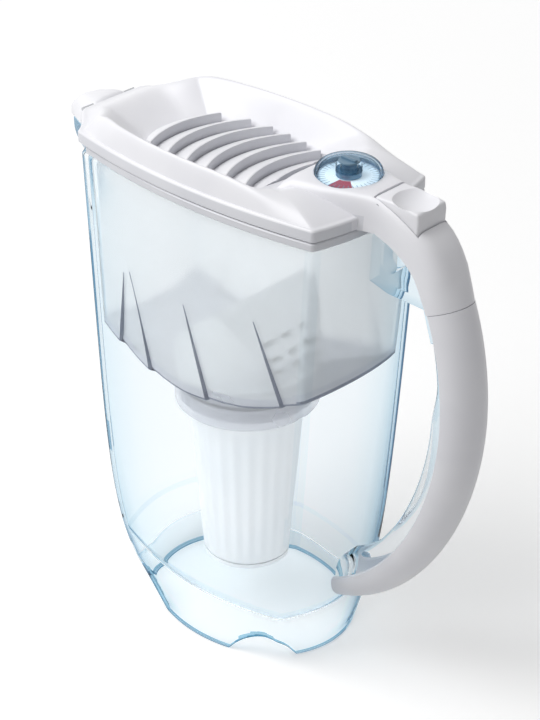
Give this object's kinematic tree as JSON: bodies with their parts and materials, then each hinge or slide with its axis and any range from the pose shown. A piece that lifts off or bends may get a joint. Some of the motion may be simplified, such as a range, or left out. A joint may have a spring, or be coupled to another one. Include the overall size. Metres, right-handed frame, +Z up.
{
  "type": "water filter pitcher",
  "caption": "Clear filter jug with a loop handle, lift-out hopper, plug-in cartridge, louvred flip flap worked by a thumb button, sprung spout cap and a turning counter dial",
  "frame": {"origin": "on the surface the jug stands on, under the middle of the length from the spout's tip to the handle's back", "axes": "+X towards the handle, -X towards the spout, +Z up, Y across the narrow width"},
  "size_m": [0.2684, 0.0928, 0.2734],
  "materials": {
    "clear_blue": "injection-moulded clear plastic with a pale blue tint",
    "white_cover": "white moulded ABS, fine satin",
    "hopper_frost": "translucent white polypropylene",
    "flap_white": "white moulded ABS, satin, with grey riser faces",
    "rod_white": "acetal, satin",
    "pin_steel": "drawn stainless wire",
    "dial_clear": "clear moulded plastic, polished",
    "dial_knob": "grey-blue moulded plastic",
    "dial_card": "printed scale disc with a red sector and plain ticks",
    "cartridge_white": "white polypropylene",
    "seal_grey": "soft silicone",
    "media_grey": "granular charcoal and resin bed",
    "screen_mesh": "fine woven mesh"
  },
  "bodies": {
    "jug": {"jug": "clear_blue", "handle_cover": "white_cover"},
    "hopper": {"hopper": "hopper_frost"},
    "lid": {"lid_shell": "white_cover", "flap_pin": "pin_steel", "flap_spring": "pin_steel", "button_pin": "pin_steel", "spout_cap_pin": "pin_steel", "counter_disc": "dial_card", "counter_axle": "pin_steel"},
    "flap": {"fill_flap": "flap_white"},
    "rod": {"push_rod": "rod_white"},
    "button": {"thumb_button": "white_cover"},
    "spout_cap": {"spout_cap": "white_cover"},
    "counter": {"counter_dome": "dial_clear", "counter_knob": "dial_knob"},
    "cartridge": {"cartridge_body": "cartridge_white", "cartridge_cap": "cartridge_white", "cartridge_flange_seal": "seal_grey", "cartridge_media": "media_grey", "cartridge_top_screen": "screen_mesh", "cartridge_bottom_screen": "screen_mesh", "cartridge_outlet": "cartridge_white"}
  },
  "joints": [
    {"name": "hopper_lift", "type": "slide", "parent": "jug", "child": "hopper", "axis": [0, 0, 1], "range_m": [0, 0.14]},
    {"name": "lid_lift", "type": "slide", "parent": "hopper", "child": "lid", "axis": [0, 0, 1], "range_m": [0, 0.12]},
    {"name": "cartridge_lift", "type": "slide", "parent": "hopper", "child": "cartridge", "axis": [0, 0, 1], "range_m": [0, 0.028]},
    {"name": "flap_hinge", "type": "hinge", "parent": "lid", "child": "flap", "pos_m": [0.0185, 0, 0.2451], "axis": [0, -1, 0], "range_deg": [0, 30], "stiffness_Nm_per_rad": 0.03, "springref_deg": -45.84},
    {"name": "rod_slide", "type": "slide", "parent": "lid", "child": "rod", "axis": [-1, 0, 0], "range_m": [0, 0.0029]},
    {"name": "button_hinge", "type": "hinge", "parent": "lid", "child": "button", "pos_m": [0.078, 0, 0.2626], "axis": [0, 1, 0], "range_deg": [0, 14.4]},
    {"name": "spout_cap_hinge", "type": "hinge", "parent": "lid", "child": "spout_cap", "pos_m": [-0.106, 0, 0.2536], "axis": [0, 1, 0], "range_deg": [0, 60]},
    {"name": "counter_turn", "type": "hinge", "parent": "lid", "child": "counter", "pos_m": [0.0515, 0, 0.264], "axis": [0, 0, 1], "range_deg": [0, 330]}
  ],
  "couplings": [
    {"joint": "rod_slide", "follows": "flap_hinge", "m_per_rad": 0.00551},
    {"joint": "button_hinge", "follows": "flap_hinge", "ratio": 0.4757}
  ]
}
